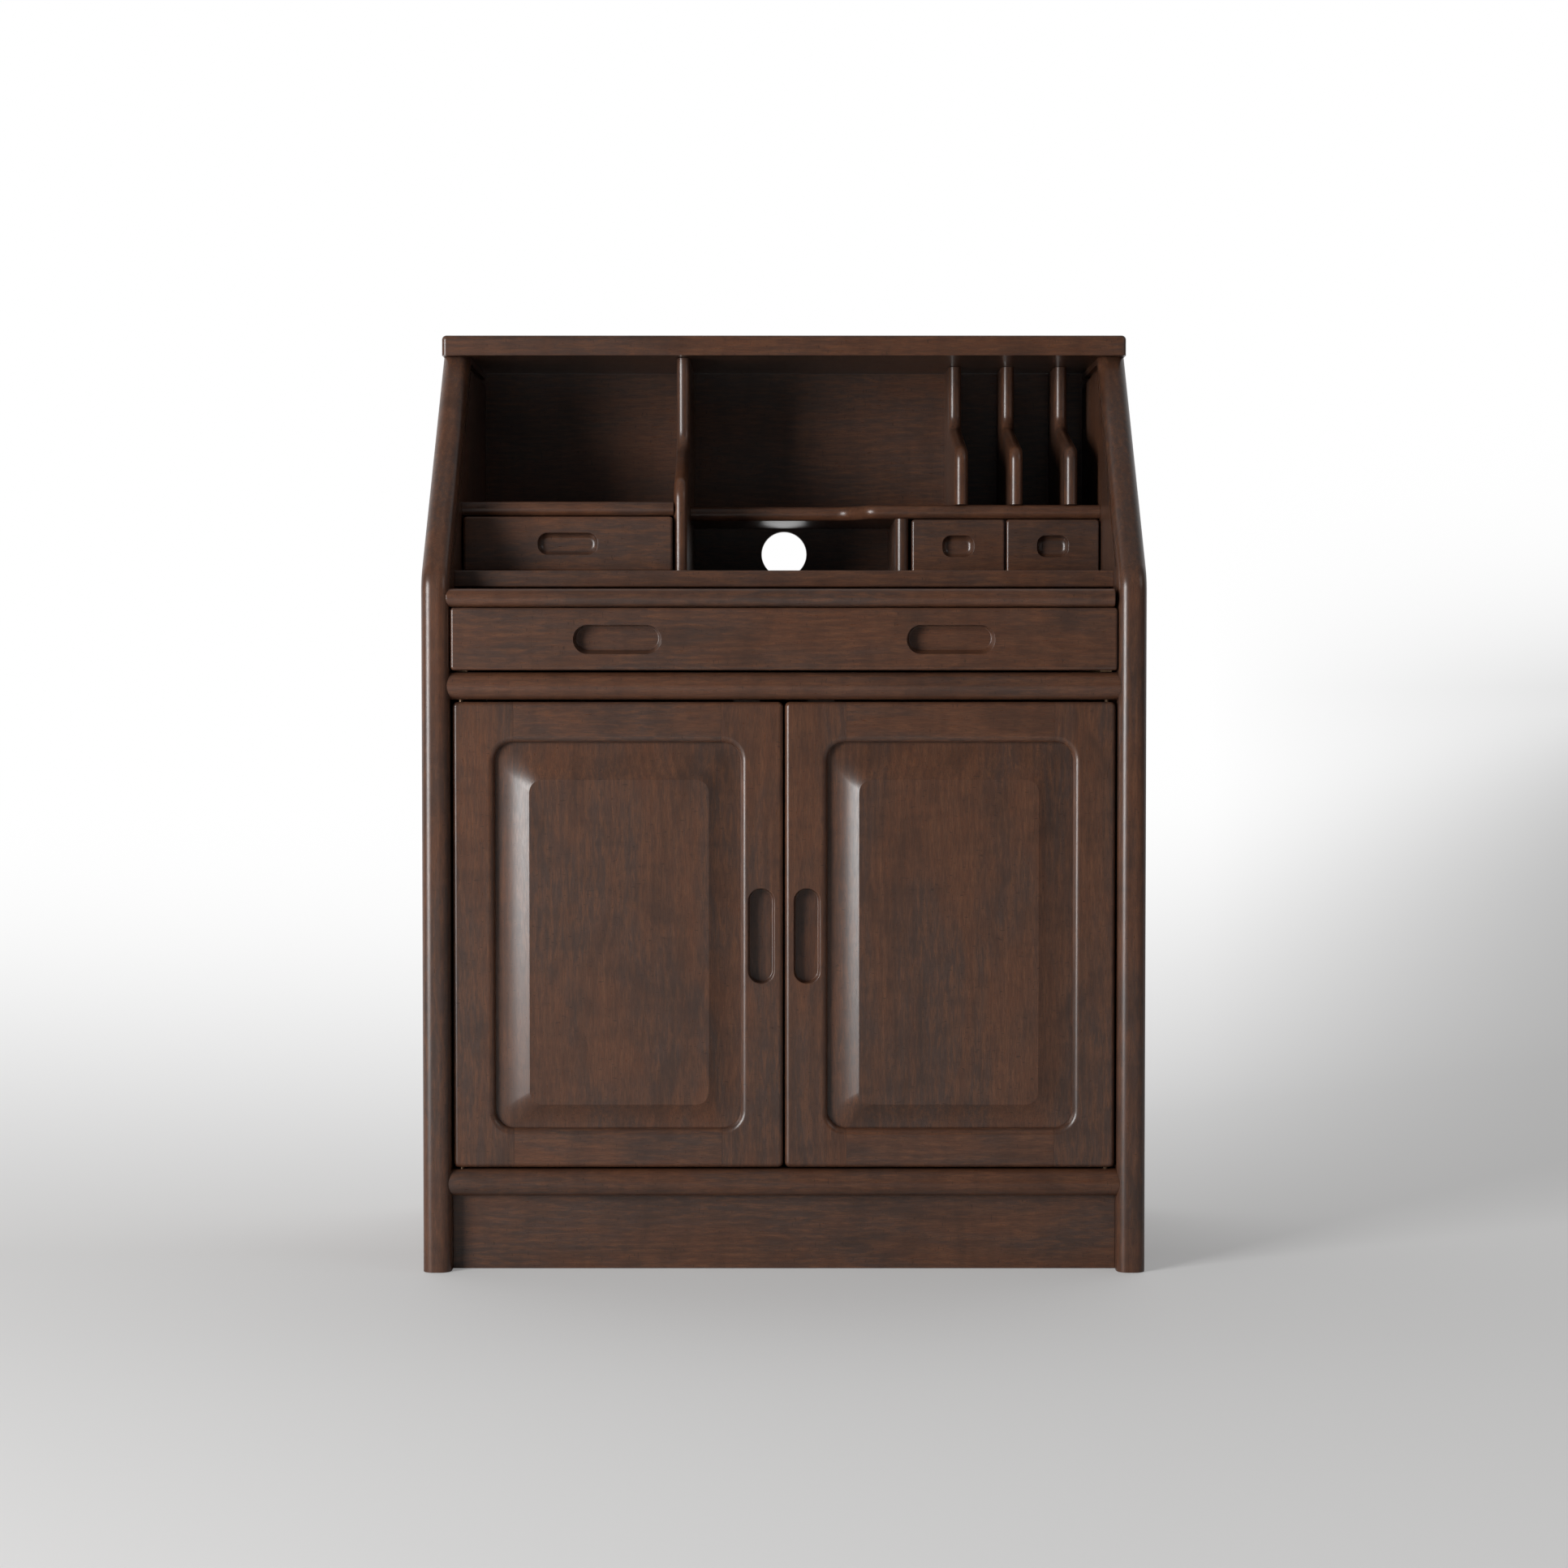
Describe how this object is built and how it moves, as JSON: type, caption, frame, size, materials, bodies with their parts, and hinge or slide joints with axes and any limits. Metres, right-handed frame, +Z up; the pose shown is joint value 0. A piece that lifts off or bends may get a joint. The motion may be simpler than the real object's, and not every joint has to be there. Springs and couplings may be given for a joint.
{
  "type": "roll top desk",
  "caption": "Slope-fronted writing desk: open pigeonholes with small drawers, pull-out writing slide and wide drawer over a two-door raised-panel cabinet on a plinth.",
  "frame": {"origin": "centre of the bounding box's base, on the floor midway between the sides", "axes": "+X to the right seen from the front, +Y towards the back, +Z up; the doors and drawers face -Y"},
  "size_m": [0.77, 0.43, 1.019],
  "materials": {
    "walnut_upright": "satin lacquered dark walnut, grain upright",
    "walnut_crosswise": "satin lacquered dark walnut, grain from side to side",
    "carcass_wood": "satin lacquered dark walnut, inner boards",
    "drawer_wood": "matt lacquered pale wood, drawer boxes",
    "brass": "plain turned brass",
    "steel": "plain steel plate",
    "catch_plastic": "moulded brown plastic"
  },
  "bodies": {
    "carcass": {"left_side_panel": "walnut_upright", "right_side_panel": "walnut_upright", "left_divider": "walnut_upright", "short_divider": "walnut_upright", "letter_divider_1": "walnut_upright", "letter_divider_2": "walnut_upright", "letter_divider_3": "walnut_upright", "top_board": "walnut_crosswise", "desk_floor": "walnut_crosswise", "upper_front_rail": "walnut_crosswise", "lower_front_rail": "walnut_crosswise", "plinth_board": "walnut_crosswise", "upper_back_panel": "walnut_crosswise", "left_shelf": "walnut_crosswise", "right_shelf": "walnut_crosswise", "drawer_deck": "carcass_wood", "cabinet_floor": "carcass_wood", "rear_plinth_board": "carcass_wood", "middle_bearer": "carcass_wood", "lower_back_panel": "carcass_wood", "cabinet_shelf": "carcass_wood", "drawer_partition": "carcass_wood", "left_drawer_kicker": "carcass_wood", "right_drawer_kicker": "carcass_wood", "left_shelf_pin_front": "brass", "left_shelf_pin_rear": "brass", "right_shelf_pin_front": "brass", "right_shelf_pin_rear": "brass", "left_door_catch": "catch_plastic", "right_door_catch": "catch_plastic"},
    "wide_drawer": {"wide_drawer_front": "walnut_crosswise", "left_wide_drawer_side": "drawer_wood", "right_wide_drawer_side": "drawer_wood", "wide_drawer_back": "drawer_wood", "wide_drawer_bottom": "drawer_wood"},
    "writing_slide": {"slide_lipping": "walnut_crosswise", "slide_board": "walnut_crosswise"},
    "left_drawer": {"left_drawer_front": "walnut_crosswise", "left_drawer_tray": "drawer_wood"},
    "middle_drawer": {"middle_drawer_front": "walnut_crosswise", "middle_drawer_tray": "drawer_wood"},
    "right_drawer": {"right_drawer_front": "walnut_crosswise", "right_drawer_tray": "drawer_wood"},
    "left_door": {"left_door_hinge_stile": "walnut_upright", "left_door_meeting_stile": "walnut_upright", "left_door_top_rail": "walnut_crosswise", "left_door_bottom_rail": "walnut_crosswise", "left_door_panel": "walnut_upright", "left_door_pivot_lower": "brass", "left_door_pivot_upper": "brass", "left_strike_plate": "steel"},
    "right_door": {"right_door_hinge_stile": "walnut_upright", "right_door_meeting_stile": "walnut_upright", "right_door_top_rail": "walnut_crosswise", "right_door_bottom_rail": "walnut_crosswise", "right_door_panel": "walnut_upright", "right_door_pivot_lower": "brass", "right_door_pivot_upper": "brass", "right_strike_plate": "steel"}
  },
  "joints": [
    {"name": "wide_drawer_slide", "type": "slide", "parent": "carcass", "child": "wide_drawer", "axis": [0, -1, 0], "range_m": [0, 0.28]},
    {"name": "writing_slide_slide", "type": "slide", "parent": "carcass", "child": "writing_slide", "axis": [0, -1, 0], "range_m": [0, 0.26]},
    {"name": "left_drawer_slide", "type": "slide", "parent": "carcass", "child": "left_drawer", "axis": [0, -1, 0], "range_m": [0, 0.17]},
    {"name": "middle_drawer_slide", "type": "slide", "parent": "carcass", "child": "middle_drawer", "axis": [0, -1, 0], "range_m": [0, 0.13]},
    {"name": "right_drawer_slide", "type": "slide", "parent": "carcass", "child": "right_drawer", "axis": [0, -1, 0], "range_m": [0, 0.13]},
    {"name": "left_door_hinge", "type": "hinge", "parent": "carcass", "child": "left_door", "pos_m": [-0.344, -0.195, 0.3591], "axis": [0, 0, -1], "range_deg": [0, 95]},
    {"name": "right_door_hinge", "type": "hinge", "parent": "carcass", "child": "right_door", "pos_m": [0.344, -0.195, 0.3591], "axis": [0, 0, 1], "range_deg": [0, 95]}
  ]
}
